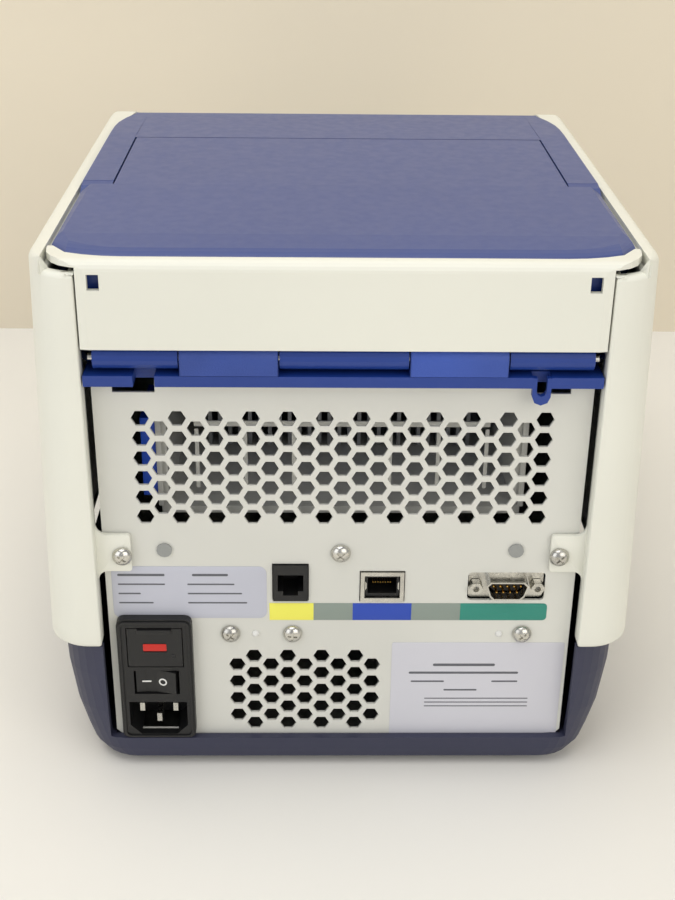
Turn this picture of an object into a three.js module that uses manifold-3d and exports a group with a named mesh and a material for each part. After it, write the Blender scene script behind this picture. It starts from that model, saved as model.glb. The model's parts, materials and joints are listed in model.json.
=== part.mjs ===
// Bench-top thermal cycler, in millimetres, +Z up.
// The user stands in front of it, on the -Y side. The connectors are on the +Y side.
// The origin is on the surface that it stands on, under the middle of its bounding box.
import * as THREE from "three";
import Module from "manifold-3d";
import { mergeVertices } from "three/addons/utils/BufferGeometryUtils.js";

// ---- Driving dimensions ----
const REAR_Y = 242.5; // rear-most plane of the housing
const FRONT_Y = -242.5;
const RIM_HALF_WIDTH = 115; // side panels, at their top rim
const DRAFT = 0.029; // how much wider each side gets for every unit down
const FRONT_TAPER = 2; // how much narrower each side is at the front end
const WALL = 3;
const GAP = 0.4; // between pieces that touch
const RIM_Z = 229; // top rim of the side panels
const DECK_Z = 184; // top of the deck under the lid
const PANEL_Y = 234.5; // outer face of the sheet-metal rear panel
const SHEET = 1.2;
const PANEL_HALF_WIDTH = 94.8;
const BASE_LIP_Z = 15.3; // top of the base's rear wall
const SEAM_Z = 64; // where side panels and base meet
const HINGE = { y: 237.2, z: 190.2 }; // lid hinge axis
const LID_HALF_WIDTH = 107.5;
const COVER_HALF_WIDTH = 96.3;
const HANDLE_PIVOT = { y: 145, z: 212 };
const ARM_INNER_X = 94.8;
const BLOCK = { halfX: 64, front: 42, rear: 128, top: 190 };
const SWITCH_X = 76.1; // middle of the power entry module

// ---- Materials ----
function finish(color, roughness, metalness = 0) {
  return new THREE.MeshStandardMaterial({ color, roughness, metalness });
}
const shellWhite = finish(0xe4e4dc, 0.5);
const lidBlue = finish(0x2f3f78, 0.4);
const deckBlue = finish(0x1e3f88, 0.4);
const navy = finish(0x2c2f45, 0.5);
const sheetGrey = finish(0xd4d4cc, 0.5, 0.2);
const steel = finish(0xb8b8b4, 0.3, 1);
const aluminium = finish(0xc4c6c8, 0.4, 1);
const blackPlastic = finish(0x17181a, 0.5);
const greyPlastic = finish(0x8d8f8e, 0.6);
const ceramic = finish(0xe8e6de, 0.6);
const greenBoard = finish(0x1f5c3a, 0.6);
const brightBlue = finish(0x1c4fd8, 0.4);
const glass = finish(0x0c0e12, 0.1);
const rubber = finish(0x202020, 0.9);

// ---- Solids ----
const wasm = await Module();
wasm.setup();

function solid(geometry) {
  const bare = geometry.index ? geometry.toNonIndexed() : geometry.clone();
  bare.deleteAttribute("normal");
  bare.deleteAttribute("uv");
  const merged = mergeVertices(bare, 1e-4);
  const vertProperties = merged.attributes.position.array;
  const triVerts = new Uint32Array(merged.index.array);
  return new wasm.Manifold(new wasm.Mesh({ numProp: 3, vertProperties, triVerts }));
}

function geometryOf(body) {
  const { vertProperties, triVerts } = body.getMesh();
  const geometry = new THREE.BufferGeometry();
  geometry.setAttribute("position", new THREE.BufferAttribute(vertProperties, 3));
  geometry.setIndex(new THREE.BufferAttribute(triVerts, 1));
  geometry.computeVertexNormals();
  return geometry;
}

function join(first, ...others) {
  return others.reduce((sum, other) => sum.add(other), first);
}

function cut(first, ...others) {
  return others.reduce((rest, other) => rest.subtract(other), first);
}

function extrude(points, depth, holes = []) {
  const shape = new THREE.Shape(points.map(([a, b]) => new THREE.Vector2(a, b)));
  shape.holes = holes.map((hole) => new THREE.Path(hole.map(([a, b]) => new THREE.Vector2(a, b))));
  return new THREE.ExtrudeGeometry(shape, { depth, bevelEnabled: false });
}

// Outlines in XY, XZ and YZ, extruded along the third axis.
function alongZ(points, low, high, holes) {
  return solid(extrude(points, high - low, holes).translate(0, 0, low));
}

function alongY(points, low, high, holes) {
  return solid(extrude(points, high - low, holes).rotateX(Math.PI / 2).translate(0, high, 0));
}

function alongX(points, low, high, holes) {
  const turn = new THREE.Matrix4().makeBasis(
    new THREE.Vector3(0, 1, 0),
    new THREE.Vector3(0, 0, 1),
    new THREE.Vector3(1, 0, 0),
  );
  return solid(extrude(points, high - low, holes).applyMatrix4(turn).translate(low, 0, 0));
}

function box(x0, x1, y0, y1, z0, z1) {
  const geometry = new THREE.BoxGeometry(x1 - x0, y1 - y0, z1 - z0);
  return solid(geometry.translate((x0 + x1) / 2, (y0 + y1) / 2, (z0 + z1) / 2));
}

function rectangle(x0, x1, z0, z1) {
  return [[x0, z0], [x1, z0], [x1, z1], [x0, z1]];
}

// Points of an arc, in degrees, counted from the first axis towards the second.
function arc(cx, cy, radius, from, to, steps) {
  const points = [];
  for (let i = 0; i <= steps; i++) {
    const angle = THREE.MathUtils.degToRad(from + ((to - from) * i) / steps);
    points.push([cx + radius * Math.cos(angle), cy + radius * Math.sin(angle)]);
  }
  return points;
}

function roundedRectangle(x0, x1, z0, z1, radius, steps = 3) {
  return [
    ...arc(x1 - radius, z0 + radius, radius, -90, 0, steps),
    ...arc(x1 - radius, z1 - radius, radius, 0, 90, steps),
    ...arc(x0 + radius, z1 - radius, radius, 90, 180, steps),
    ...arc(x0 + radius, z0 + radius, radius, 180, 270, steps),
  ];
}

function circle(cx, cy, radius, sides = 16) {
  return arc(cx, cy, radius, 0, 360 - 360 / sides, sides - 1);
}

// A closed body through rings with the same number of points, from the lowest to the highest.
function loft(rings) {
  const count = rings[0].points.length;
  const positions = rings.flatMap(({ points, z }) => points.flatMap(([x, y]) => [x, y, z]));
  const index = [];
  for (let ring = 0; ring + 1 < rings.length; ring++) {
    for (let i = 0; i < count; i++) {
      const a = ring * count + i;
      const b = ring * count + ((i + 1) % count);
      index.push(a, b, b + count, a, b + count, a + count);
    }
  }
  const flat = rings[0].points.map(([x, y]) => new THREE.Vector2(x, y));
  const top = (rings.length - 1) * count;
  for (const [a, b, c] of THREE.ShapeUtils.triangulateShape(flat, [])) {
    index.push(c, b, a);
    index.push(top + a, top + b, top + c);
  }
  const geometry = new THREE.BufferGeometry();
  geometry.setAttribute("position", new THREE.Float32BufferAttribute(positions, 3));
  geometry.setIndex(index);
  return solid(geometry);
}

function mirrored(body) {
  return body.mirror([1, 0, 0]);
}

const cycler = new THREE.Group();

function add(name, body, material, parent = cycler) {
  const mesh = new THREE.Mesh(geometryOf(body), material);
  mesh.name = name;
  parent.add(mesh);
  return mesh;
}

// ---- Shared outlines ----
// Half-width of the housing: it widens downwards, and narrows a little towards the front.
function halfWidth(y, z) {
  const forward = Math.max(0, (50 - y) / (50 - FRONT_Y));
  return RIM_HALF_WIDTH + (RIM_Z - z) * DRAFT - FRONT_TAPER * forward ** 2;
}

const SIDE_STATIONS = [50, -10, -70, -130, -190];
const REAR_RADIUS = 17.5;
const FRONT_RADIUS = 16;
const FAIRING_EDGE_X = 97; // the side panels' edge, beside the rear panel

// Half of the housing's plan outline, from its rear edge at the +X side to its front edge.
function halfPlan(z, inset, endInset, sharpen = 0) {
  const rearRadius = REAR_RADIUS - sharpen;
  const frontRadius = FRONT_RADIUS - sharpen;
  const rearX = halfWidth(REAR_Y, z) - inset;
  const frontX = halfWidth(FRONT_Y + FRONT_RADIUS, z) - inset;
  const rearCentre = [rearX - rearRadius, REAR_Y - endInset - rearRadius];
  const frontCentre = [frontX - frontRadius, FRONT_Y + endInset + frontRadius];
  return [
    ...arc(...rearCentre, rearRadius, 90, 0, 7),
    ...SIDE_STATIONS.map((y) => [halfWidth(y, z) - inset, y]),
    ...arc(...frontCentre, frontRadius, 0, -90, 4),
  ];
}

function fullPlan(inset, endInset) {
  const half = halfPlan(SEAM_Z, inset, endInset);
  const other = half.map(([x, y]) => [-x, y]).reverse();
  return [...half.reverse(), ...other.reverse()];
}

// Side view of the housing: flat rim, rounded shoulder, slope down to the front.
const SHOULDER = { y: 10, z: RIM_Z - 30, radius: 30 };
const SLOPE_ANGLE = 50; // where the shoulder's arc ends, from vertical
const NOSE = { y: -224.5, z: 60, radius: 18 };

function sideView(offset, bottomLift = 0) {
  return [
    [REAR_Y + 5, RIM_Z - offset],
    ...arc(SHOULDER.y, SHOULDER.z, SHOULDER.radius - offset, 90, 90 + SLOPE_ANGLE, 5),
    ...arc(NOSE.y, NOSE.z, NOSE.radius - offset, 90 + SLOPE_ANGLE - 12, 180, 4),
    [NOSE.y - NOSE.radius + offset, 40 + bottomLift],
    ...arc(-120, SEAM_Z - 300 + bottomLift, 300, 110, 90, 4),
    [REAR_Y + 5, SEAM_Z + bottomLift],
  ];
}

// ---- Base ----
function baseTray() {
  const levels = [
    { z: 3, inset: 22 },
    { z: 4.5, inset: 16 },
    { z: 9, inset: 13 },
    { z: 17, inset: 10.8 },
    { z: 30, inset: 7.8 },
    { z: 49, inset: 5.6 },
    { z: 80, inset: 4.6 },
  ];
  const outer = loft(levels.map(({ z, inset }) => ({ z, points: fullPlan(inset, inset * 0.35) })));
  const inner = loft(
    levels.slice(1).map(({ z, inset }) => ({
      z: z + WALL - 0.5 + (z === 80 ? 2 : 0),
      points: fullPlan(inset + WALL, inset * 0.35 + WALL),
    })),
  );
  const aboveSeam = alongX(
    [
      [FRONT_Y - 5, 100],
      [FRONT_Y - 5, 38],
      [-230, 38],
      ...arc(-120, SEAM_Z - 300 - GAP, 300, 111, 90, 4),
      [REAR_Y + 5, SEAM_Z - GAP],
      [REAR_Y + 5, 100],
    ],
    -130,
    130,
  );
  const rearWindow = box(-97, 97, 225, 250, BASE_LIP_Z, 90);
  const panelPocket = box(-95.2, 95.2, 220, PANEL_Y + GAP, 8.6, 90);
  const frontWindow = box(-97.1, 97.1, -250, -205, 34, 90);
  const slots = [];
  for (let x = -77; x <= 77; x += 11) {
    slots.push(box(x - 2.2, x + 2.2, -250, -225, 12, 28));
  }
  return cut(outer, inner, aboveSeam, rearWindow, panelPocket, frontWindow, ...slots);
}
add("base_tray", baseTray(), navy);

const FOOT = { x: 78, rearY: 195, frontY: -200, radius: 9, height: 2.6 };
for (const [end, y] of [["front", FOOT.frontY], ["rear", FOOT.rearY]]) {
  for (const [side, x] of [["left", -FOOT.x], ["right", FOOT.x]]) {
    const { radius, height } = FOOT;
    const profile = [[0, 0], [radius - 1, 0], [radius, 1], [radius, height], [0, height]];
    const disc = new THREE.LatheGeometry(profile.map(([r, z]) => new THREE.Vector2(r, z)), 16);
    add(`foot_${end}_${side}`, solid(disc.rotateX(Math.PI / 2).translate(x, y, 0)), rubber);
  }
}

// ---- Side panels ----
const SCREW_TAB_X = 87;
const SCREW_TAB_Z = 104.6;
const EAR_RADIUS = 15;
const EAR_HALF_WIDTH = 108.2;
const EAR_BOTTOM_Z = 226;
const TAB = { inner: 83.5, low: 97.3, high: 114, front: PANEL_Y + GAP, rear: PANEL_Y + 2.6 };

// Plan of the lid cover's top ledge: its rear corners are rounded.
function earPlan(grow, front) {
  const cx = EAR_HALF_WIDTH - EAR_RADIUS;
  const cy = REAR_Y - EAR_RADIUS;
  const corner = arc(cx, cy, EAR_RADIUS + grow, 0, 90, 5);
  const other = corner.map(([x, y]) => [-x, y]).reverse();
  return [[EAR_HALF_WIDTH + grow, front], ...corner, ...other, [-EAR_HALF_WIDTH - grow, front]];
}

// Plan of the lid's sides, and of the rim around them: the lid narrows towards its front end.
function lidSide(grow) {
  const curve = arc(17.6, 48, 90 + grow, 0, -22, 3);
  return [[LID_HALF_WIDTH + grow, REAR_Y + 5], ...curve];
}

const RIM_EDGES = [
  { z: 10, round: 0 },
  { z: 224.6, round: 0 },
  { z: 227, round: 1 },
  { z: 228.5, round: 2.4 },
  { z: 229.2, round: 4 },
  { z: 240, round: 4 },
];

function sidePanel() {
  const ring = (inset, z, edgeX) => {
    const half = halfPlan(z, inset, inset, inset);
    return [[edgeX, REAR_Y - inset], ...half, [edgeX, FRONT_Y + inset]].reverse();
  };
  const shape = (inset, edgeX) =>
    loft(RIM_EDGES.map(({ z, round }) => ({ z, points: ring(inset + round, z, edgeX) })));
  const full = shape(0, FAIRING_EDGE_X - 7);
  const wall = cut(
    shape(0, FAIRING_EDGE_X),
    shape(WALL, FAIRING_EDGE_X - 20),
    box(80, FAIRING_EDGE_X + 3, -250, -200, 0, 250),
  );
  const lip = box(FAIRING_EDGE_X, FAIRING_EDGE_X + 2.5, PANEL_Y + 0.9, REAR_Y - WALL + 0.5, 10, 240);
  const rimRing = cut(
    alongX(sideView(0), 98, 125),
    alongX(sideView(WALL).map(([y, z]) => [y, z < 100 && y > -230 ? z - 20 : z]), 90, 126),
  );
  const rimEdge = lidSide(1.2);
  const [endX] = rimEdge[rimEdge.length - 1];
  const shoulderEnd = -16;
  const slopeEnd = -225;
  const rimPlan = [
    ...rimEdge,
    [endX, shoulderEnd],
    [LID_HALF_WIDTH + 1.2, shoulderEnd],
    [LID_HALF_WIDTH + 1.2, slopeEnd],
    [125, slopeEnd],
    [125, REAR_Y + 5],
  ];
  const rim = rimRing.intersect(full).intersect(alongZ(rimPlan, 90, 240));
  const body = wall.add(lip).intersect(alongX(sideView(0), 80, 125)).add(rim);
  const rearX = FAIRING_EDGE_X;
  const tabOutline = [
    [rearX + 2, TAB.low - 4],
    ...arc(rearX - 4, TAB.low - 4, 4, 0, 90, 3),
    [TAB.inner + 1, TAB.low],
    [TAB.inner, TAB.low + 1],
    [TAB.inner, TAB.high - 1],
    [TAB.inner + 1, TAB.high],
    ...arc(rearX - 4, TAB.high + 4, 4, -90, 0, 3),
    [rearX + 2, TAB.high + 4],
  ];
  const tab = alongY(tabOutline, TAB.front, TAB.rear, [circle(SCREW_TAB_X, SCREW_TAB_Z, 2, 8)]);
  const earNotch = box(80, EAR_HALF_WIDTH + 0.6, 223, 250, EAR_BOTTOM_Z - 2.2, 240);
  return cut(body.add(tab), earNotch);
}
const rightPanel = sidePanel();
add("side_panel_right", rightPanel, shellWhite);
add("side_panel_left", mirrored(rightPanel), shellWhite);

// ---- Rear panel ----
const UPPER_VENT = { x: 77.2, z: 163.7, pitch: 7.02, halfRow: 4.27, columns: 23, rows: 11, first: 0 };
const LOWER_VENT = { x: 42.7, z: 54.7, pitch: 7.02, halfRow: 4.31, columns: 9, rows: 9, first: 1 };
const HEXAGON = { halfWidth: 3.5, halfHeight: 3.05 };
const PANEL_SCREWS = [
  ["rear_screw_centre", 0.2, 104.6],
  ["rear_screw_inlet", 45.1, 66.1],
  ["rear_screw_middle", 19.6, 66.1],
  ["rear_screw_serial", -75.1, 66.1],
];
const PLUGS = [["hole_plug_right", 70.5, 106], ["hole_plug_left", -70, 106]];
const INLET = { low: 15.6, high: 75.2, halfWidth: 15.4, bodyHalfWidth: 13.6 };
const CAN = { x: 20.35, z: 90.75, halfWidth: 7, halfHeight: 8.35 };
const NETWORK = { x: -16.8, z: 88.85, halfWidth: 8.8, halfHeight: 6.9 };
const SERIAL = { x: -67.2, z: 88.95, halfWidth: 15.7, halfHeight: 6.6 };

function hexagons({ x, z, pitch, halfRow, columns, rows, first }) {
  const { halfWidth: w, halfHeight: h } = HEXAGON;
  const found = [];
  for (let column = 0; column < columns; column++) {
    for (let row = 0; row < rows; row++) {
      if ((column + row) % 2 === first) {
        const cx = x - column * pitch;
        const cz = z - row * halfRow;
        found.push([
          [cx + w, cz],
          [cx + w / 2, cz + h],
          [cx - w / 2, cz + h],
          [cx - w, cz],
          [cx - w / 2, cz - h],
          [cx + w / 2, cz - h],
        ]);
      }
    }
  }
  return found;
}

function around({ x, z, halfWidth: w, halfHeight: h }, grow) {
  return rectangle(x - w - grow, x + w + grow, z - h - grow, z + h + grow);
}

function rearPanel() {
  const w = PANEL_HALF_WIDTH;
  const outline = [
    [-w + 8, 9],
    [w - 8, 9],
    [w, 17],
    [w, 179.4],
    [87, 179.4],
    [87, 174.5],
    [71, 174.5],
    [71, 179.4],
    [-71, 179.4],
    [-71, 174.5],
    [-86, 174.5],
    [-86, 179.4],
    [-w, 179.4],
    [-w, 17],
  ];
  const screwHoles = [["", SCREW_TAB_X, SCREW_TAB_Z], ["", -SCREW_TAB_X, SCREW_TAB_Z], ...PANEL_SCREWS];
  const holes = [
    ...hexagons(UPPER_VENT),
    ...hexagons(LOWER_VENT),
    ...screwHoles.map(([, x, z]) => circle(x, z, 2, 8)),
    ...PLUGS.map(([, x, z]) => circle(x, z, 2.4, 8)),
    rectangle(SWITCH_X - 14, SWITCH_X + 14, INLET.low + 1.6, INLET.high - 1.6),
    around(CAN, GAP),
    around(NETWORK, GAP),
    roundedRectangle(
      SERIAL.x - SERIAL.halfWidth,
      SERIAL.x + SERIAL.halfWidth,
      SERIAL.z - SERIAL.halfHeight,
      SERIAL.z + SERIAL.halfHeight,
      1.5,
      2,
    ),
  ];
  return alongY(outline, PANEL_Y - SHEET, PANEL_Y, holes);
}
add("rear_panel", rearPanel(), sheetGrey);

// Pan-head screw along +Y, with its seat at seatY.
function panScrew(x, z, seatY) {
  const profile = [[0, -6], [1.5, -6], [1.5, 0], [4.05, 0], [3.9, 1.2], [2.9, 2.3], [1.2, 2.75], [0, 2.8]];
  const turned = new THREE.LatheGeometry(profile.map(([r, y]) => new THREE.Vector2(r, y)), 12);
  const bodyOf = solid(turned.translate(x, seatY, z));
  const slotAcross = box(x - 1.7, x + 1.7, seatY + 1.5, seatY + 4, z - 0.4, z + 0.4);
  const slotDown = box(x - 0.4, x + 0.4, seatY + 1.5, seatY + 4, z - 1.7, z + 1.7);
  return cut(bodyOf, slotAcross, slotDown);
}
for (const [name, x, z] of PANEL_SCREWS) {
  add(name, panScrew(x, z, PANEL_Y + 0.3), steel);
}
add("side_panel_screw_right", panScrew(SCREW_TAB_X, SCREW_TAB_Z, TAB.rear + 0.3), steel);
add("side_panel_screw_left", panScrew(-SCREW_TAB_X, SCREW_TAB_Z, TAB.rear + 0.3), steel);

for (const [name, x, z] of PLUGS) {
  const stem = alongY(circle(x, z, 2, 8), PANEL_Y - 3, PANEL_Y + 0.5);
  add(name, stem.add(alongY(circle(x, z, 3.1, 12), PANEL_Y + 0.3, PANEL_Y + 0.9)), greyPlastic);
}

// ---- Power entry module ----
const CAVITY = { halfWidth: 12.1, low: 17.5, high: 34.1, chamfer: 4.6, depth: 16 };
const ROCKER = { low: 38.2, high: 50, halfWidth: 9.4 };
const DRAWER = { low: 51.8, high: 71.2, halfWidth: 11.6 };
const MODULE_FACE_Y = PANEL_Y + 4;

function powerInlet() {
  const flange = alongY(
    roundedRectangle(SWITCH_X - INLET.halfWidth, SWITCH_X + INLET.halfWidth, INLET.low, INLET.high, 3),
    PANEL_Y + 0.3,
    MODULE_FACE_Y,
  );
  const bodyWidth = INLET.bodyHalfWidth;
  const left = SWITCH_X - bodyWidth;
  const right = SWITCH_X + bodyWidth;
  const body = box(left, right, 200, PANEL_Y + 1, INLET.low + 2, INLET.high - 2);
  const { halfWidth: w, low, high, chamfer, depth } = CAVITY;
  const cavity = alongY(
    [
      [SWITCH_X - w + chamfer, low],
      [SWITCH_X + w - chamfer, low],
      [SWITCH_X + w, low + chamfer],
      [SWITCH_X + w, high],
      [SWITCH_X - w, high],
      [SWITCH_X - w, low + chamfer],
    ],
    MODULE_FACE_Y - depth,
    MODULE_FACE_Y + 5,
  );
  const rockerWell = box(
    SWITCH_X - ROCKER.halfWidth, SWITCH_X + ROCKER.halfWidth, 224, MODULE_FACE_Y + 5, ROCKER.low, ROCKER.high,
  );
  const drawerWell = box(
    SWITCH_X - DRAWER.halfWidth, SWITCH_X + DRAWER.halfWidth, 206, MODULE_FACE_Y + 5, DRAWER.low, DRAWER.high,
  );
  return cut(flange.add(body), cavity, rockerWell, drawerWell);
}
add("power_inlet", powerInlet(), blackPlastic);

const PINS = [["line", 7, 27.6], ["neutral", -7, 27.6], ["earth", 0, 22.2]];
for (const [name, dx, z] of PINS) {
  const back = MODULE_FACE_Y - CAVITY.depth + 0.3;
  add(`inlet_pin_${name}`, box(SWITCH_X + dx - 1, SWITCH_X + dx + 1, back, back + 13, z, z + 4), steel);
}

const ROCKER_PIVOT_Y = 234.5;
const ROCKER_REST_TILT = -7; // degrees about the upright axis

// The rocker turns about an upright axis. At rest one of its sides is pressed in.
function rocker() {
  const w = ROCKER.halfWidth - 1;
  const outline = [
    [-w, 2.2],
    [-w, -3.5],
    [w, -3.5],
    [w, 2.2],
    ...arc(0, 30.2, 29.3, -73.5, -106.5, 4),
  ];
  const turned = alongZ(outline, ROCKER.low + 0.5, ROCKER.high - 0.5).rotate([0, 0, ROCKER_REST_TILT]);
  return turned.translate([SWITCH_X, ROCKER_PIVOT_Y + 2.2, 0]);
}
add("rocker_switch", rocker(), blackPlastic);

function fuseDrawer() {
  const w = DRAWER.halfWidth - 0.4;
  const face = box(SWITCH_X - w, SWITCH_X + w, 235.2, MODULE_FACE_Y, DRAWER.low + 0.4, DRAWER.high - 0.4);
  const tray = box(SWITCH_X - w + 1, SWITCH_X + w - 1, 208, 235.4, DRAWER.low + 1.4, DRAWER.high - 1.4);
  const pockets = [-5, 5].map((dx) => {
    return box(SWITCH_X + dx - 3.2, SWITCH_X + dx + 3.2, 210, 233, DRAWER.low + 3.5, DRAWER.high + 1);
  });
  return cut(face.add(tray), ...pockets);
}
add("fuse_drawer", fuseDrawer(), blackPlastic);
for (const [name, dx] of [["fuse_left", -5], ["fuse_right", 5]]) {
  const centreZ = DRAWER.low + 7;
  add(name, alongY(circle(SWITCH_X + dx, centreZ, 2.6, 10), 211, 232), ceramic);
}

// ---- Connectors ----
function socket({ x, z, halfWidth: w, halfHeight: h }, front, rear, openings) {
  const body = box(x - w, x + w, front, rear, z - h, z + h);
  const cavities = openings.map(([x0, x1, z0, z1, deep]) => {
    return box(x + x0, x + x1, rear - deep, rear + 2, z + z0, z + z1);
  });
  return cut(body, ...cavities);
}
const canOpenings = [[-5.2, 5.2, -3.6, 4, 13], [-3, 3, -5.6, -3.5, 13]];
add("can_jack", socket(CAN, 216, PANEL_Y + 1.2, canOpenings), blackPlastic);
add("network_jack", socket(NETWORK, 214, PANEL_Y + 0.8, [[-7.2, 7.2, -5.2, 5.2, 18]]), steel);
const networkInsert = { x: NETWORK.x, z: NETWORK.z, halfWidth: 6.9, halfHeight: 4.9 };
const insertOpenings = [[-5.9, 5.9, -3.6, 3.9, 12]];
add("network_jack_insert", socket(networkInsert, 217.6, PANEL_Y - 0.6, insertOpenings), blackPlastic);

// D-shaped outline of a nine-pin connector: wider at the top.
function shroudOutline(grow) {
  const { x, z } = SERIAL;
  const top = 8.4 + grow;
  const bottom = 7.1 + grow;
  const h = 4.1 + grow;
  return [
    [x - bottom + 1.5, z - h],
    [x + bottom - 1.5, z - h],
    [x + bottom, z - h + 1.5],
    [x + top, z + h - 1.5],
    [x + top - 1.5, z + h],
    [x - top + 1.5, z + h],
    [x - top, z + h - 1.5],
    [x - bottom, z - h + 1.5],
  ];
}

function serialShell() {
  const { x, z } = SERIAL;
  const flange = alongY(roundedRectangle(x - 15.2, x + 15.2, z - 6.1, z + 6.1, 1.2, 2), 231.5, 232.5, [
    circle(x - 12.5, z, 2, 8),
    circle(x + 12.5, z, 2, 8),
  ]);
  const shroud = alongY(shroudOutline(0), 231.5, 238.5, [shroudOutline(-0.5)]);
  return flange.add(shroud).subtract(alongY(shroudOutline(-0.5), 230, 240));
}
add("serial_port_shell", serialShell(), steel);
add("serial_port_insert", alongY(shroudOutline(-0.9), 222, 232.6), blackPlastic);
for (const [name, dx] of [["serial_nut_right", 12.5], ["serial_nut_left", -12.5]]) {
  const hexagonHead = alongY(circle(SERIAL.x + dx, SERIAL.z, 2.9, 6), 232.8, 236.8);
  const stem = alongY(circle(SERIAL.x + dx, SERIAL.z, 1.5, 8), 228, 233);
  const thread = alongY(circle(SERIAL.x + dx, SERIAL.z, 1.4, 8), 234, 238);
  add(name, hexagonHead.add(stem).subtract(thread), steel);
}

// ---- Deck and lid hinge ----
const DECK_HALF_WIDTH = 110.2;
const DECK_FRONT_Y = -22;
const LEDGE = { low: 179.9, rear: 241.8, halfWidth: 96.4 };
const LUGS = [[24.3, 60.7], [-60.7, -24.3]];
const BARRELS = [[61.2, 92.5], [-23.8, 23.8], [-92.5, -61.2]];

function topDeck() {
  const outline = [
    [-DECK_HALF_WIDTH, DECK_FRONT_Y],
    [DECK_HALF_WIDTH, DECK_FRONT_Y],
    [DECK_HALF_WIDTH, 205],
    [LEDGE.halfWidth, 222],
    [LEDGE.halfWidth, 232],
    [-LEDGE.halfWidth, 232],
    [-LEDGE.halfWidth, 222],
    [-DECK_HALF_WIDTH, 205],
  ];
  const blockHole = rectangle(-BLOCK.halfX - 3.4, BLOCK.halfX + 3.4, BLOCK.front - 3.4, BLOCK.rear + 3.4);
  const plate = alongZ(outline, DECK_Z - WALL, DECK_Z, [blockHole]);
  const ledge = box(-LEDGE.halfWidth, LEDGE.halfWidth, 230, LEDGE.rear, LEDGE.low, DECK_Z + 0.2);
  const leftGap = box(70, 78, 233, 250, 170, 190);
  const hookNotch = box(-77, -70, 235.5, 250, 178, 190);
  const hook = alongY(
    [[-70, DECK_Z], [-70, 178.5], ...arc(-73.5, 176.5, 3.5, 0, -180, 4), [-77, 178.5], [-77, DECK_Z]],
    239.3,
    LEDGE.rear,
  );
  const hookCut = alongY(
    [[-71.6, 190], [-71.6, 178.5], ...arc(-73.5, 178.5, 1.9, 0, -180, 4), [-75.4, 178.5], [-75.4, 190]],
    237,
    243,
  );
  const lugs = LUGS.map(([low, high]) => {
    const block = box(low, high, HINGE.y - 5.5, HINGE.y + 4.3, DECK_Z - 0.5, HINGE.z);
    return block.add(alongX(circle(HINGE.y, HINGE.z, 4.7, 16), low, high));
  });
  const pinHole = alongX(circle(HINGE.y, HINGE.z, 1.9, 12), -100, 100);
  const body = cut(join(plate, ledge, ...lugs), leftGap, hookNotch).add(hook);
  return cut(body, hookCut, pinHole);
}
add("top_deck", topDeck(), deckBlue);
add("hinge_pin", alongX(circle(HINGE.y, HINGE.z, 1.5, 12), -94.5, 94.5), steel);

// ---- Inner parts ----
function chassis() {
  const floor = box(-92, 92, -170, 226, 9.5, 10.7);
  const walls = [-1, 1].map((side) => {
    const x = side * 91.4;
    return box(x - SHEET / 2, x + SHEET / 2, -20, 221, 9.6, 180);
  });
  return join(floor, ...walls);
}
add("chassis", chassis(), steel);

function sampleBlock() {
  const plate = alongZ(
    roundedRectangle(-BLOCK.halfX, BLOCK.halfX, BLOCK.front, BLOCK.rear, 4, 3),
    BLOCK.top - 18,
    BLOCK.top,
  );
  return plate;
}
add("sample_block", sampleBlock(), aluminium);

function aroundBlock(grow, radius) {
  const { halfX, front, rear } = BLOCK;
  return roundedRectangle(-halfX - grow, halfX + grow, front - grow, rear + grow, radius, 3);
}
const gasketOuter = aroundBlock(7, 6);
const gasketInner = aroundBlock(0.6, 4.5);
add("block_gasket", alongZ(gasketOuter, DECK_Z + 0.3, DECK_Z + 2.8, [gasketInner]), rubber);

const PELTIER = { low: 168, high: 171.7, halfX: 20, halfY: 38 };
for (const [name, x] of [["peltier_left", -42], ["peltier_centre", 0], ["peltier_right", 42]]) {
  const y = (BLOCK.front + BLOCK.rear) / 2;
  const { halfX, halfY, low, high } = PELTIER;
  add(name, box(x - halfX, x + halfX, y - halfY, y + halfY, low, high), ceramic);
}

const SINK = { front: 32, rear: 168, halfX: 57, top: PELTIER.low - 0.3, baseZ: 156, low: 120, fins: 27, fin: 1.6 };

// Comb outline: a base with fins hanging from it.
function heatSink() {
  const pitch = (2 * SINK.halfX - SINK.fin) / (SINK.fins - 1);
  const outline = [[SINK.halfX, SINK.top], [-SINK.halfX, SINK.top]];
  for (let i = 0; i < SINK.fins; i++) {
    const x = -SINK.halfX + i * pitch;
    outline.push([x, SINK.low], [x + SINK.fin, SINK.low]);
    if (i < SINK.fins - 1) {
      outline.push([x + SINK.fin, SINK.baseZ], [x + pitch, SINK.baseZ]);
    }
  }
  return alongY(outline, SINK.front, SINK.rear);
}
add("heat_sink", heatSink(), aluminium);

function airDuct() {
  const outer = [[-72, 116], [72, 116], [72, 168], [69, 168], [69, 119], [-69, 119], [-69, 168], [-72, 168]];
  return alongY(outer, -14, 222);
}
add("air_duct", airDuct(), sheetGrey);
add("cable_guide", box(73, 79, 190, 222, 124, 158), brightBlue);

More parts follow.
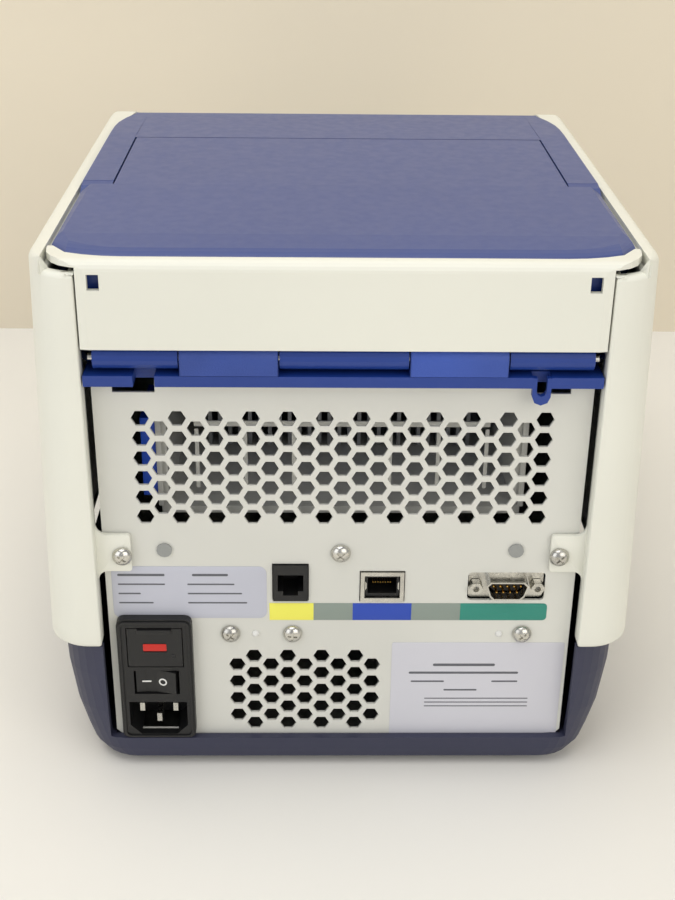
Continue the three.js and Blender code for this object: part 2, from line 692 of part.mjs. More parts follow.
const FAN = { y0: -46, y1: -20, half: 30, z: 142 };
for (const [side, x] of [["left", -33], ["right", 33]]) {
  const frame = alongY(
    rectangle(x - FAN.half, x + FAN.half, FAN.z - FAN.half, FAN.z + FAN.half),
    FAN.y0,
    FAN.y1,
    [circle(x, FAN.z, 28, 20)],
  );
  const strut = box(x - 29, x + 29, FAN.y1 - 3, FAN.y1, FAN.z - 2, FAN.z + 2);
  const hub = alongY(circle(x, FAN.z, 10, 12), FAN.y1 - 3, FAN.y1);
  add(`fan_frame_${side}`, join(frame, strut, hub), blackPlastic);
  const blades = [];
  for (let i = 0; i < 7; i++) {
    const blade = solid(new THREE.BoxGeometry(18, 1.4, 13));
    const tilted = blade.rotate([40, 0, 0]).translate([17.5, 0, 0]).rotate([0, (360 * i) / 7, 0]);
    blades.push(tilted.translate([x, (FAN.y0 + FAN.y1) / 2 - 2, FAN.z]));
  }
  const rotorHub = alongY(circle(x, FAN.z, 11, 12), FAN.y0 + 2, FAN.y1 - 4);
  add(`fan_impeller_${side}`, join(rotorHub, ...blades), blackPlastic);
}

function powerSupply() {
  const can = box(-88, -18, 20, 200, 14, 54);
  return can.subtract(box(-82, -24, 190, 210, 20, 48));
}
add("power_supply", powerSupply(), steel);
add("main_board", box(-85, 85, -150, -6, 62, 64), greenBoard);

// ---- Front ----
const BEZEL_HALF_WIDTH = 107.8;
const CHIN_HALF_WIDTH = 96.6;

// The sloping face between the side panels.
const SLOPE_TOP = { y: -26, z: 196 };
const SLOPE_BOTTOM = { y: -225, z: 62 };
const SLOPE_LENGTH = Math.hypot(SLOPE_TOP.y - SLOPE_BOTTOM.y, SLOPE_TOP.z - SLOPE_BOTTOM.z);
const SLOPE_TURN = Math.atan2(SLOPE_TOP.z - SLOPE_BOTTOM.z, SLOPE_TOP.y - SLOPE_BOTTOM.y);
const SCREEN_ALONG = 118;
const BUTTON = { x: 86, along: 205, radius: 7.4 };

// Places a body made around the origin, facing +Z, on the slope at a distance from its top edge.
function onSlope(body, along) {
  const y = SLOPE_TOP.y - along * Math.cos(SLOPE_TURN);
  const z = SLOPE_TOP.z - along * Math.sin(SLOPE_TURN);
  return body.rotate([THREE.MathUtils.radToDeg(SLOPE_TURN), 0, 0]).translate([0, y, z]);
}

function frontBezel() {
  const plate = onSlope(box(-BEZEL_HALF_WIDTH, BEZEL_HALF_WIDTH, -SLOPE_LENGTH, 0, -WALL, 0), 0);
  const window = onSlope(box(-74, 74, -50, 50, -10, 10), SCREEN_ALONG);
  const buttonHole = onSlope(alongZ(circle(BUTTON.x, 0, BUTTON.radius + 0.6), -10, 10), BUTTON.along);
  const chin = box(-CHIN_HALF_WIDTH, CHIN_HALF_WIDTH, -238.5, -235.5, 35.5, 56);
  const nose = alongX(
    [[-223, 62.5], [-226, 58.2], [-238.5, 50], [-238.5, 54.5]],
    -CHIN_HALF_WIDTH,
    CHIN_HALF_WIDTH,
  );
  const usbHole = box(-82, -66, -245, -230, 42, 49.8);
  return cut(join(plate, chin, nose), window, buttonHole, usbHole);
}
add("front_bezel", frontBezel(), shellWhite);
add("touchscreen", onSlope(box(-73.5, 73.5, -49.5, 49.5, -2.2, -0.8), SCREEN_ALONG), glass);
add("display_module", onSlope(box(-78, 78, -54, 54, -12, -3.6), SCREEN_ALONG), blackPlastic);
add("power_button", onSlope(alongZ(circle(BUTTON.x, 0, BUTTON.radius), -5, 0.8), BUTTON.along), greyPlastic);

function usbPort() {
  const shell = box(-81, -67, -238, -222, 42.6, 49.2);
  return shell.subtract(box(-80.3, -67.7, -240, -224, 43.3, 48.5));
}
add("usb_port", usbPort(), steel);

// ---- Lid ----
const LID_TOP_Z = 231;
const LID_LOW_Z = 187;
const LID_FRONT_Y = -4;
const CROSS_SEAM_Y = 70;
const SEAM = 0.8;
const ARM_RADIUS = LID_TOP_Z - HANDLE_PIVOT.z; // rounded rear end of each handle arm
const lid = new THREE.Group();
cycler.add(lid);

// Plan of the blue lid: its rear edge curves forward at the corners.
function lidPlan(shrink, front, sideShrink = shrink) {
  const radius = 50;
  const curve = arc(80, 236.5 - radius - shrink, radius, 90, 57, 4);
  const other = curve.map(([x, y]) => [-x, y]).reverse();
  const side = lidSide(-sideShrink).slice(1);
  const frontX = side[side.length - 1][0];
  const right = [[frontX, front], ...side.reverse(), [LID_HALF_WIDTH - sideShrink, 222 - shrink]];
  const left = right.map(([x, y]) => [-x, y]).reverse();
  return [...right, ...curve.slice(0, -1).reverse(), ...other.slice(1).reverse(), ...left];
}

function lidTopView(drop) {
  return [
    [240, 229 - drop],
    [215, 230.2 - drop],
    [150, LID_TOP_Z - drop],
    [60, LID_TOP_Z - drop],
    [12, LID_TOP_Z - 1.4 - drop],
    [4, LID_TOP_Z - 4 - drop],
  ];
}

// The lid's top edge rolls down, broadly at the rear and tightly at the sides.
const LID_ROLL = [
  { z: 150, rear: 0, side: 0 },
  { z: 226.6, rear: 0, side: 0 },
  { z: 227.6, rear: 0.8, side: 0.1 },
  { z: 228.4, rear: 2.4, side: 0.4 },
  { z: 229, rear: 4.4, side: 0.8 },
  { z: 229.5, rear: 7, side: 1.4 },
  { z: 232, rear: 24, side: 6 },
];

function lidEnvelope() {
  return loft(LID_ROLL.map(({ z, rear, side }) => ({ z, points: lidPlan(rear, -50, side) })));
}

function hingeClearance(radius) {
  const sweep = alongX(circle(HINGE.y, HINGE.z, radius, 32), -120, 120);
  return sweep.subtract(box(-COVER_HALF_WIDTH - 0.2, COVER_HALF_WIDTH + 0.2, 150, 280, 150, 240));
}

function lidShell() {
  const outerView = [...lidTopView(0), [LID_FRONT_Y, 215], [LID_FRONT_Y, LID_LOW_Z], [240, LID_LOW_Z]];
  const outer = alongX(outerView, -LID_HALF_WIDTH, LID_HALF_WIDTH);
  const hollow = alongX(
    [
      ...lidTopView(WALL).map(([y, z]) => [y === 240 ? 260 : y, z]),
      [LID_FRONT_Y + WALL, 211],
      [LID_FRONT_Y + WALL, 150],
      [260, 150],
    ],
    -LID_HALF_WIDTH + WALL,
    LID_HALF_WIDTH - WALL,
  );
  const crossPocket = box(-120, 120, -20, CROSS_SEAM_Y, 218, 240);
  const floorX = LID_HALF_WIDTH - WALL + 0.5;
  const crossFloor = box(-floorX, floorX, LID_FRONT_Y + 1, CROSS_SEAM_Y + WALL, 215, 218);
  const crossWall = box(-ARM_INNER_X, ARM_INNER_X, CROSS_SEAM_Y, CROSS_SEAM_Y + WALL, 215, LID_TOP_Z - 1);
  const armParts = [-1, 1].map((side) => {
    const x0 = side > 0 ? ARM_INNER_X - SEAM : -120;
    const x1 = side > 0 ? 120 : -ARM_INNER_X + SEAM;
    return box(x0, x1, -20, HANDLE_PIVOT.y, 202, 240)
      .add(alongX(circle(HANDLE_PIVOT.y, HANDLE_PIVOT.z, ARM_RADIUS + 0.7, 24), x0, x1));
  });
  const armTrays = [-1, 1].map((side) => {
    const a = side * (ARM_INNER_X - SEAM - WALL);
    const b = side * LID_HALF_WIDTH;
    const low = Math.min(a, b);
    const high = Math.max(a, b);
    const floor = box(low, high, LID_FRONT_Y + 1, HANDLE_PIVOT.y + 23, 190, 240);
    const drum = alongX(circle(HANDLE_PIVOT.y, HANDLE_PIVOT.z, ARM_RADIUS + 3.5, 24), low, high);
    const upright = box(low, high, LID_FRONT_Y + 1, HANDLE_PIVOT.y, 199, 240);
    return floor.intersect(join(drum, upright)).intersect(outer);
  });
  const shell = join(outer.subtract(hollow), crossFloor, crossWall, ...armTrays);
  const cutDown = cut(shell, crossPocket, ...armParts).add(crossFloor.subtract(join(...armParts)));
  return cutDown.intersect(lidEnvelope()).subtract(hingeClearance(35.4));
}
add("lid_shell", lidShell(), lidBlue, lid);

function lidHandle() {
  const arms = [-1, 1].map((side) => {
    const x0 = side > 0 ? ARM_INNER_X : -LID_HALF_WIDTH;
    const x1 = side > 0 ? LID_HALF_WIDTH : -ARM_INNER_X;
    const bar = alongX(
      [
        [HANDLE_PIVOT.y, 205],
        [HANDLE_PIVOT.y, LID_TOP_Z],
        [60, LID_TOP_Z],
        [12, LID_TOP_Z - 1.4],
        [-10, 222],
        [-10, 205],
      ],
      x0,
      x1,
    );
    const boss = alongX(circle(HANDLE_PIVOT.y, HANDLE_PIVOT.z, ARM_RADIUS - 0.1, 24), x0, x1);
    return bar.add(boss);
  });
  const seamY = CROSS_SEAM_Y - SEAM;
  const coverView = [
    [seamY, LID_TOP_Z],
    [12, LID_TOP_Z - 1.4],
    [0, LID_TOP_Z - 5.5],
    [-10, LID_TOP_Z - 14],
    [-16, LID_TOP_Z - 28],
    [-18, 198],
    [-15.2, 198],
    [-13.2, LID_TOP_Z - 28.5],
    [-8, LID_TOP_Z - 16],
    [1, LID_TOP_Z - 8.5],
    [12, LID_TOP_Z - 4.2],
    [seamY - 0.8, LID_TOP_Z - 2.8],
  ];
  const cover = alongX(coverView, -LID_HALF_WIDTH, LID_HALF_WIDTH);
  const side = lidSide(0).slice(1);
  const [endX] = side[side.length - 1];
  const right = [[LID_HALF_WIDTH, 200], ...side, ...arc(endX - 16, -2, 16, 0, -90, 4)];
  const frontPlan = [...right, ...right.map(([x, y]) => [-x, y]).reverse()];
  return join(cover, ...arms).intersect(alongZ(frontPlan, 190, 240));
}
add("lid_handle", lidHandle(), lidBlue, lid);

function rearCover() {
  const bottom = HINGE.z + 4.6;
  const view = [
    [REAR_Y - 2.5, bottom],
    [REAR_Y, bottom],
    [REAR_Y, 224.6],
    ...arc(REAR_Y - 4, 224.6, 4, 15, 90, 4),
    [225, 228.6],
    [225, EAR_BOTTOM_Z],
    [REAR_Y - 4, EAR_BOTTOM_Z],
    [REAR_Y - 2.5, EAR_BOTTOM_Z - 1.4],
  ];
  const rolled = alongX(view, -EAR_HALF_WIDTH, EAR_HALF_WIDTH);
  const besideBody = [-1, 1].map((side) => {
    const x = side > 0 ? COVER_HALF_WIDTH : -120;
    return box(x, x + 120 - COVER_HALF_WIDTH, 200, 250, 190, EAR_BOTTOM_Z);
  });
  const clipSlots = [-1, 1].map((side) => box(side * 90 - 2.2, side * 90 + 2.2, 235, 250, 217.5, 223.5));
  const blueLid = alongZ(lidPlan(-0.5, -50), 190, 250);
  const withEars = rolled.intersect(alongZ(earPlan(0, 200), 180, 250));
  return cut(withEars, blueLid, hingeClearance(35), ...besideBody, ...clipSlots);
}
add("lid_rear_cover", rearCover(), shellWhite, lid);

// The frame behind the cover that carries the hinge barrels and the clips.
function hingeFrame() {
  const bar = box(-93, 93, 226, HINGE.y - 5.6, HINGE.z + 1.5, HINGE.z + 9);
  const barrels = BARRELS.map(([low, high]) => {
    const barrel = alongX(circle(HINGE.y, HINGE.z, 4.4, 16), low, high);
    return barrel.add(box(low, high, HINGE.y - 7, HINGE.y, HINGE.z - 0.5, HINGE.z + 4));
  });
  const pinHole = alongX(circle(HINGE.y, HINGE.z, 1.9, 12), -100, 100);
  const posts = [-1, 1].map((side) => box(side * 90 - 3, side * 90 + 3, 229, 237.5, HINGE.z + 8, 224));
  return join(bar, ...barrels, ...posts).subtract(pinHole);
}
add("lid_hinge_frame", hingeFrame(), deckBlue, lid);

const linerHole = rectangle(-BLOCK.halfX - 4, BLOCK.halfX + 4, BLOCK.front - 4, BLOCK.rear + 4);
add("lid_liner", alongZ(rectangle(-89.5, 89.5, 0, 200), 193, 195.5, [linerHole]), deckBlue, lid);

add(
  "heated_platen",
  alongZ(roundedRectangle(-BLOCK.halfX, BLOCK.halfX, BLOCK.front, BLOCK.rear, 4, 2), 200, 206),
  aluminium,
  lid,
);

export default cycler;
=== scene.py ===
"""Looks for a bench-top thermal cycler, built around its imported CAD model.

Lengths in this file are in millimetres unless a name says otherwise. The part's rear, with its
connectors, faces +Y, and its lid opens about an axis along X.
"""
import json
import math
import random

import bmesh
import bpy
from mathutils import Matrix, Vector


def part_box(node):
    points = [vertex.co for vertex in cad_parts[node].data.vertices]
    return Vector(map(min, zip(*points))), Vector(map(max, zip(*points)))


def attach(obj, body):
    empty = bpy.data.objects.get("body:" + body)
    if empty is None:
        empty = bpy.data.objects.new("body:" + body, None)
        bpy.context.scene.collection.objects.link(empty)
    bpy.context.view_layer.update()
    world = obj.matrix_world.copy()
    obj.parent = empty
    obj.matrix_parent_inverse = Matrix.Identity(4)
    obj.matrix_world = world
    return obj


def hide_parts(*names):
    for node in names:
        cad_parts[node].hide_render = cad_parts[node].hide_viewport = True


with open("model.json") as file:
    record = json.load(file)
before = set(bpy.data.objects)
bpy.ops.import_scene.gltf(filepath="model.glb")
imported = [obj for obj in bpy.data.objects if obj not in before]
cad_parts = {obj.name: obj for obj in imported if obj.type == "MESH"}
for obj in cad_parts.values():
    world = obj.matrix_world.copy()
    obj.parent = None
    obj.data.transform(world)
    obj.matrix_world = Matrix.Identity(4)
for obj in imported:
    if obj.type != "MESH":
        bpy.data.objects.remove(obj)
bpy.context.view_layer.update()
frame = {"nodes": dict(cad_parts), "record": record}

MM = 0.001
NODES = frame["nodes"]
SLOT_OF = {part["node"]: part["material_slot"] for part in frame["record"]["subparts"]}


def box_of(node):
    """Lowest and highest corner of a CAD node, in millimetres."""
    low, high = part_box(node)
    return Vector(low) / MM, Vector(high) / MM


# ---- Driving dimensions, from the frame where it has them ----
BLOCK_LOW, BLOCK_HIGH = box_of("sample_block")
SERIAL_LOW, SERIAL_HIGH = box_of("serial_port_shell")
CAN_LOW, CAN_HIGH = box_of("can_jack")
NETWORK_LOW, NETWORK_HIGH = box_of("network_jack")

PANEL_Y = box_of("rear_panel")[1].y
INLET_Y = box_of("power_inlet")[1].y
REAR_Y = box_of("lid_rear_cover")[1].y
RIM_Z = box_of("side_panel_right")[1].z
LID_HALF_WIDTH = box_of("lid_shell")[1].x
HINGE_Y = 237.2
HINGE_Z = 190.2


# ---- Camera ----
CAMERA_PLACE = (11.24, 698.16, 381.95)
CAMERA_PITCH, CAMERA_YAW, CAMERA_ROLL = 26.517, 1.1413, -0.70347
CAMERA_LENS = 53.89


def make_camera():
    """The camera stands behind the part and looks down at it."""
    pitch, yaw, roll = (math.radians(angle) for angle in (CAMERA_PITCH, CAMERA_YAW, CAMERA_ROLL))
    place = Vector(CAMERA_PLACE) * MM
    across, along = math.sin(yaw), math.cos(yaw)
    forward = Vector((-across * math.cos(pitch), -along * math.cos(pitch), -math.sin(pitch)))
    level = Vector((-along, across, 0))
    down = Vector((math.sin(pitch) * across, math.sin(pitch) * along, -math.cos(pitch)))
    right = level * math.cos(roll) + down * math.sin(roll)
    image_down = down * math.cos(roll) - level * math.sin(roll)
    data = bpy.data.cameras.new("camera")
    data.sensor_width = 36
    data.lens = CAMERA_LENS
    data.clip_start = 0.02
    camera = bpy.data.objects.new("camera", data)
    turn = Matrix((right, -image_down, -forward)).transposed()
    camera.matrix_world = Matrix.Translation(place) @ turn.to_4x4()
    bpy.context.scene.collection.objects.link(camera)
    bpy.context.scene.camera = camera


make_camera()


# ---- Materials ----
def linear(red, green, blue):
    """A display colour of 0 to 255 as the linear colour that a shader takes."""
    values = []
    for value in (red, green, blue):
        c = value / 255
        values.append(c / 12.92 if c <= 0.04045 else ((c + 0.055) / 1.055) ** 2.4)
    return (*values, 1)


class Finish:
    """A Principled material, with helpers that add noise to its colour, roughness and bump."""

    def __init__(self, name, colour, roughness, metallic=0.0, specular=0.5):
        self.material = bpy.data.materials.new(name)
        self.material.use_nodes = True
        self.tree = self.material.node_tree
        self.shader = self.tree.nodes["Principled BSDF"]
        self.colour = linear(*colour)
        self.shader.inputs["Base Color"].default_value = self.colour
        self.shader.inputs["Roughness"].default_value = roughness
        self.shader.inputs["Metallic"].default_value = metallic
        self.shader.inputs["Specular IOR Level"].default_value = specular
        self.place = self.tree.nodes.new("ShaderNodeTexCoord").outputs["Object"]
        self.bumps = None

    def link(self, start, end):
        self.tree.links.new(start, end)

    def noise(self, scale, detail, stretch=(1, 1, 1)):
        mapping = self.tree.nodes.new("ShaderNodeMapping")
        mapping.inputs["Scale"].default_value = stretch
        self.link(self.place, mapping.inputs["Vector"])
        node = self.tree.nodes.new("ShaderNodeTexNoise")
        node.inputs["Scale"].default_value = scale
        node.inputs["Detail"].default_value = detail
        self.link(mapping.outputs["Vector"], node.inputs["Vector"])
        return node.outputs["Fac"]

    def cells(self, scale):
        node = self.tree.nodes.new("ShaderNodeTexVoronoi")
        node.inputs["Scale"].default_value = scale
        self.link(self.place, node.inputs["Vector"])
        return node.outputs["Distance"]

    def ramp(self, source, stops):
        node = self.tree.nodes.new("ShaderNodeValToRGB")
        elements = node.color_ramp.elements
        for index, (position, colour) in enumerate(stops):
            element = elements[index] if index < 2 else elements.new(position)
            element.position = position
            element.color = colour
        self.link(source, node.inputs["Fac"])
        return node.outputs["Color"]

    def mottle(self, source, darker, lighter, low=0.35, high=0.65):
        """Varies the colour between two multiples of itself."""
        dark = (*(c * darker for c in self.colour[:3]), 1)
        light = (*(min(1, c * lighter) for c in self.colour[:3]), 1)
        self.link(self.ramp(source, [(low, dark), (high, light)]), self.shader.inputs["Base Color"])

    def vary_roughness(self, source, low, high):
        stops = [(0.3, (low, low, low, 1)), (0.7, (high, high, high, 1))]
        self.link(self.ramp(source, stops), self.shader.inputs["Roughness"])

    def bump(self, source, depth, strength=1.0):
        """Adds a bump of that depth in millimetres."""
        node = self.tree.nodes.new("ShaderNodeBump")
        node.inputs["Distance"].default_value = depth * MM
        node.inputs["Strength"].default_value = strength
        self.link(source, node.inputs["Height"])
        if self.bumps:
            self.link(self.bumps, node.inputs["Normal"])
        self.bumps = node.outputs["Normal"]
        self.link(self.bumps, self.shader.inputs["Normal"])


def moulded(name, colour, roughness, grain=0.02, mottle=0.05, specular=0.5, scale=2600):
    """Moulded plastic: fine spark-eroded grain, slow colour drift and uneven gloss."""
    finish = Finish(name, colour, roughness, specular=specular)
    finish.mottle(finish.noise(14, 3), 1 - mottle, 1 + mottle)
    finish.vary_roughness(finish.noise(240, 5), roughness - 0.03, roughness + 0.04)
    finish.bump(finish.noise(scale, 2), grain)
    finish.bump(finish.noise(35, 2), grain * 2, 0.2)
    return finish


def metal(name, colour, roughness, stretch=(1, 1, 1), grain=0.004):
    finish = Finish(name, colour, roughness, metallic=1.0)
    finish.mottle(finish.noise(90, 4), 0.86, 1.08)
    finish.vary_roughness(finish.noise(300, 4, stretch), roughness - 0.07, roughness + 0.1)
    finish.bump(finish.noise(900, 3, stretch), grain)
    return finish


def lid_finish():
    """Glossier blue plastic that has been wiped many times."""
    finish = moulded("lid_blue", (52, 72, 134), 0.34, grain=0.008, mottle=0.015, specular=0.62)
    finish.bump(finish.noise(900, 2, (1, 8, 1)), 0.004, 0.5)
    return finish


def sheet_finish():
    """Light powder-coated sheet, with a faint orange peel."""
    finish = Finish("panel_sheet", (214, 214, 207), 0.42, specular=0.4)
    finish.mottle(finish.noise(11, 3), 0.96, 1.03)
    finish.bump(finish.cells(1500), 0.01, 0.5)
    finish.vary_roughness(finish.noise(40, 4), 0.36, 0.5)
    return finish


def glass_finish():
    finish = Finish("screen_glass", (16, 20, 28), 0.08, specular=0.6)
    finish.shader.inputs["Coat Weight"].default_value = 0.6
    finish.vary_roughness(finish.noise(30, 4), 0.05, 0.14)
    return finish


def board_finish():
    finish = Finish("circuit_board", (24, 84, 52), 0.4)
    finish.mottle(finish.cells(260), 0.7, 1.25, 0.2, 0.5)
    finish.bump(finish.cells(260), 0.05, 0.4)
    return finish


FINISHES = {
    "shell_white": moulded("shell_white", (230, 230, 219), 0.44, grain=0.012, mottle=0.015, specular=0.4),
    "lid_blue": lid_finish(),
    "deck_blue": moulded("deck_blue", (26, 58, 138), 0.4, grain=0.015, mottle=0.05),
    "base_navy": moulded("base_navy", (50, 52, 74), 0.5, grain=0.03, mottle=0.05),
    "panel_sheet": sheet_finish(),
    "steel": metal("steel", (205, 203, 196), 0.24),
    "zinc_sheet": metal("zinc_sheet", (176, 178, 176), 0.42, (1, 1, 6)),
    "aluminium": metal("aluminium", (196, 198, 200), 0.36, (1, 5, 1)),
    "black_plastic": moulded("black_plastic", (20, 20, 21), 0.42, grain=0.02, mottle=0.1),
    "grey_plastic": moulded("grey_plastic", (150, 152, 150), 0.5),
    "ceramic": moulded("ceramic", (225, 222, 212), 0.35, mottle=0.03),
    "circuit_board": board_finish(),
    "bright_blue": moulded("bright_blue", (20, 88, 226), 0.34, mottle=0.06),
    "screen_glass": glass_finish(),
    "rubber": moulded("rubber", (24, 24, 25), 0.75, grain=0.05, mottle=0.1),
}
EXTRA = {
    "lug_texture": moulded("lug_texture", (48, 76, 158), 0.5, grain=0.16, mottle=0.2, scale=1500),
    "label_grey": moulded("label_grey", (192, 194, 206), 0.45, grain=0.004, mottle=0.01),
    "label_pale": moulded("label_pale", (206, 206, 214), 0.5, grain=0.004, mottle=0.01),
    "label_yellow": moulded("label_yellow", (240, 236, 96), 0.42, grain=0.004, mottle=0.02),
    "label_sage": moulded("label_sage", (138, 150, 142), 0.42, grain=0.004, mottle=0.02),
    "label_blue": moulded("label_blue", (36, 72, 178), 0.4, grain=0.004, mottle=0.02),
    "label_teal": moulded("label_teal", (44, 138, 122), 0.4, grain=0.004, mottle=0.02),
    "print_grey": moulded("print_grey", (96, 98, 104), 0.5, grain=0.004, mottle=0.02),
    "gold": metal("gold", (226, 180, 92), 0.22),
    "red_lamp": moulded("red_lamp", (196, 34, 24), 0.3, grain=0.004, mottle=0.08),
    "print_white": moulded("print_white", (225, 225, 222), 0.5, grain=0.004, mottle=0.01),
    "screen_tile": moulded("screen_tile", (70, 120, 190), 0.3, grain=0.002, mottle=0.05),
}


def paint(piece, finish):
    piece.data.materials.clear()
    piece.data.materials.append((FINISHES.get(finish) or EXTRA[finish]).material)


# ---- Mesh helpers ----
SHARP_ANGLE = math.radians(32)


def make_piece(name, mesh, body, slot, finish=None, node=None):
    """A named object for a mesh whose vertices are in millimetres, riding on a CAD body."""
    mesh.transform(Matrix.Scale(MM, 4))
    mesh.shade_smooth()
    mesh.set_sharp_from_angle(angle=SHARP_ANGLE)
    piece = bpy.data.objects.new(name, mesh)
    bpy.context.scene.collection.objects.link(piece)
    paint(piece, finish or slot)
    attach(piece, body)
    if node:
        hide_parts(node)
    return piece


def bevel(piece, width):
    """Rounds a piece's sharp edges."""
    modifier = piece.modifiers.new("rounded_edges", "BEVEL")
    modifier.width = width * MM
    modifier.segments = 2
    modifier.limit_method = "ANGLE"
    modifier.angle_limit = math.radians(35)
    modifier.harden_normals = False
    modifier.use_clamp_overlap = True


def arc(cx, cy, radius, start, end, steps):
    """Points along a circular arc; angles in degrees."""
    points = []
    for i in range(steps + 1):
        angle = math.radians(start + (end - start) * i / steps)
        points.append((cx + radius * math.cos(angle), cy + radius * math.sin(angle)))
    return points


def rounded(x0, x1, z0, z1, radius, steps=5):
    """A rectangle with rounded corners."""
    corners = [(x1 - radius, z1 - radius, 0), (x0 + radius, z1 - radius, 90)]
    corners += [(x0 + radius, z0 + radius, 180), (x1 - radius, z0 + radius, 270)]
    return [p for cx, cz, start in corners for p in arc(cx, cz, radius, start, start + 90, steps)]


def circle(cx, cz, radius, steps=24):
    return arc(cx, cz, radius, 0, 360, steps)[:-1]


AXES = {
    "X": Matrix(((0, 0, 1), (1, 0, 0), (0, 1, 0))),
    "Y": Matrix(((1, 0, 0), (0, 0, -1), (0, 1, 0))),
    "Z": Matrix(((1, 0, 0), (0, 1, 0), (0, 0, 1))),
}


def plate_mesh(outline, axis, low, high, edge, holes=()):
    """An outline with holes, extruded along an axis, with rounded edges.

    The outline is in XY, XZ or YZ, for the axis Z, Y or X."""
    curve = bpy.data.curves.new("outline", "CURVE")
    curve.dimensions = "2D"
    curve.fill_mode = "BOTH"
    curve.extrude = (high - low) / 2 - edge
    curve.bevel_depth = edge
    curve.bevel_resolution = 1
    curve.offset = -edge
    for points in (outline, *holes):
        spline = curve.splines.new("POLY")
        spline.points.add(len(points) - 1)
        spline.use_cyclic_u = True
        for point, (a, b) in zip(spline.points, points):
            point.co = (a, b, 0, 1)
    holder = bpy.data.objects.new("outline", curve)
    bpy.context.scene.collection.objects.link(holder)
    bpy.context.view_layer.update()
    evaluated = holder.evaluated_get(bpy.context.evaluated_depsgraph_get())
    mesh = bpy.data.meshes.new_from_object(evaluated)
    bpy.data.objects.remove(holder)
    bpy.data.curves.remove(curve)
    turn = AXES[axis].to_4x4()
    middle = (low + high) / 2
    shift = {"X": (middle, 0, 0), "Y": (0, middle, 0), "Z": (0, 0, middle)}[axis]
    mesh.transform(Matrix.Translation(shift) @ turn)
    grid = bmesh.new()
    grid.from_mesh(mesh)
    bmesh.ops.remove_doubles(grid, verts=grid.verts, dist=0.0005)
    bmesh.ops.recalc_face_normals(grid, faces=grid.faces)
    grid.to_mesh(mesh)
    grid.free()
    return mesh


def merge(*meshes):
    """One mesh from several."""
    grid = bmesh.new()
    for mesh in meshes:
        grid.from_mesh(mesh)
    result = bpy.data.meshes.new("merged")
    grid.to_mesh(result)
    grid.free()
    return result


def lathe_mesh(profile, centre, axis, steps):
    """Turns a profile of (radius, height) points round an axis, Y or Z, through a centre."""
    grid = bmesh.new()
    rings = []
    for radius, height in profile:
        if radius == 0:
            rings.append([grid.verts.new((0, 0, height))])
            continue
        rings.append([grid.verts.new((a, b, height)) for a, b in circle(0, 0, radius, steps)])
    for low, high in zip(rings, rings[1:]):
        for i in range(steps):
            j = (i + 1) % steps
            corners = [low[i % len(low)], low[j % len(low)], high[j % len(high)], high[i % len(high)]]
            unique = list(dict.fromkeys(corners))
            if len(unique) > 2:
                grid.faces.new(unique)
    bmesh.ops.recalc_face_normals(grid, faces=grid.faces)
    mesh = bpy.data.meshes.new("turned")
    grid.to_mesh(mesh)
    grid.free()
    turn = Matrix.Rotation(-math.pi / 2, 4, "X") if axis == "Y" else Matrix.Identity(4)
    mesh.transform(Matrix.Translation(centre) @ turn)
    return mesh


def lattice_mesh(rows, columns, place):
    """A sheet of quads, whose corners are place(row, column)."""
    grid = bmesh.new()
    corners = [[grid.verts.new(place(row, column)) for column in columns] for row in rows]
    for upper, lower in zip(corners, corners[1:]):
        for j in range(len(columns) - 1):
            grid.faces.new((upper[j], lower[j], lower[j + 1], upper[j + 1]))
    grid.normal_update()
    mesh = bpy.data.meshes.new("lattice")
    grid.to_mesh(mesh)
    grid.free()
    return mesh


# ---- Side panels ----
RIM_HALF_WIDTH = 115
RIM_GAP = 1.2
DRAFT = 0.029
FRONT_TAPER = 2
TAPER_START_Y = 50
WALL_TAPER_LENGTH = TAPER_START_Y + REAR_Y
BAND_TAPER_LENGTH = 292
REAR_RADIUS = 17.5
FRONT_RADIUS = 16
FRONT_CENTRE_Y = FRONT_RADIUS - REAR_Y
FAIRING_EDGE_X = 97
REAR_ARC_EDGE_X = 98.4
NOTCH_Z = 223.8
EAR_Y = 223
EAR_ANGLE = 50
SEAM_Z = 64
SEAM_DIP_Y = -120
SEAM_DIP_RADIUS = 300
SHOULDER_Y = 10
SHOULDER_RADIUS = 30
SHOULDER_ANGLE = math.radians(50)
SLOPE_START_Y = SHOULDER_Y - SHOULDER_RADIUS * math.sin(SHOULDER_ANGLE)
SLOPE_START_Z = RIM_Z - SHOULDER_RADIUS * (1 - math.cos(SHOULDER_ANGLE))
NOSE_Y = -236
NOSE_Z = 72
LID_ARC_X, LID_ARC_Y = 17.6, 48
LID_ARC_RADIUS = 90
LID_ARC_REACH = 34
OPEN_SLOPE_Y = -16
THIN_BAND = 3.6
THICK_BAND = 6.2
WALL_THICKNESS = 1.8


def taper(y, length):
    """How much narrower each side is towards the front."""
    return FRONT_TAPER * max(0, (TAPER_START_Y - y) / length) ** 2


def half_width(y, z):
    return RIM_HALF_WIDTH + (RIM_Z - z) * DRAFT - taper(y, WALL_TAPER_LENGTH)


def rim_edge(y):
    """X of the rim's inner edge: it follows the lid's sides."""
    if y > LID_ARC_Y or y < OPEN_SLOPE_Y:
        return LID_HALF_WIDTH + RIM_GAP
    reach = min(LID_ARC_Y - y, LID_ARC_REACH)
    return LID_ARC_X + math.sqrt((LID_ARC_RADIUS + RIM_GAP) ** 2 - reach ** 2)


def top_height(y):
    """Height of the rim: flat, a rounded shoulder, then a slope to the nose."""
    if y > SHOULDER_Y:
        return RIM_Z
    if y > SLOPE_START_Y:
        return RIM_Z - SHOULDER_RADIUS + math.sqrt(SHOULDER_RADIUS ** 2 - (SHOULDER_Y - y) ** 2)
    slope = (SLOPE_START_Z - NOSE_Z) / (SLOPE_START_Y - NOSE_Y)
    return SLOPE_START_Z + (y - SLOPE_START_Y) * slope


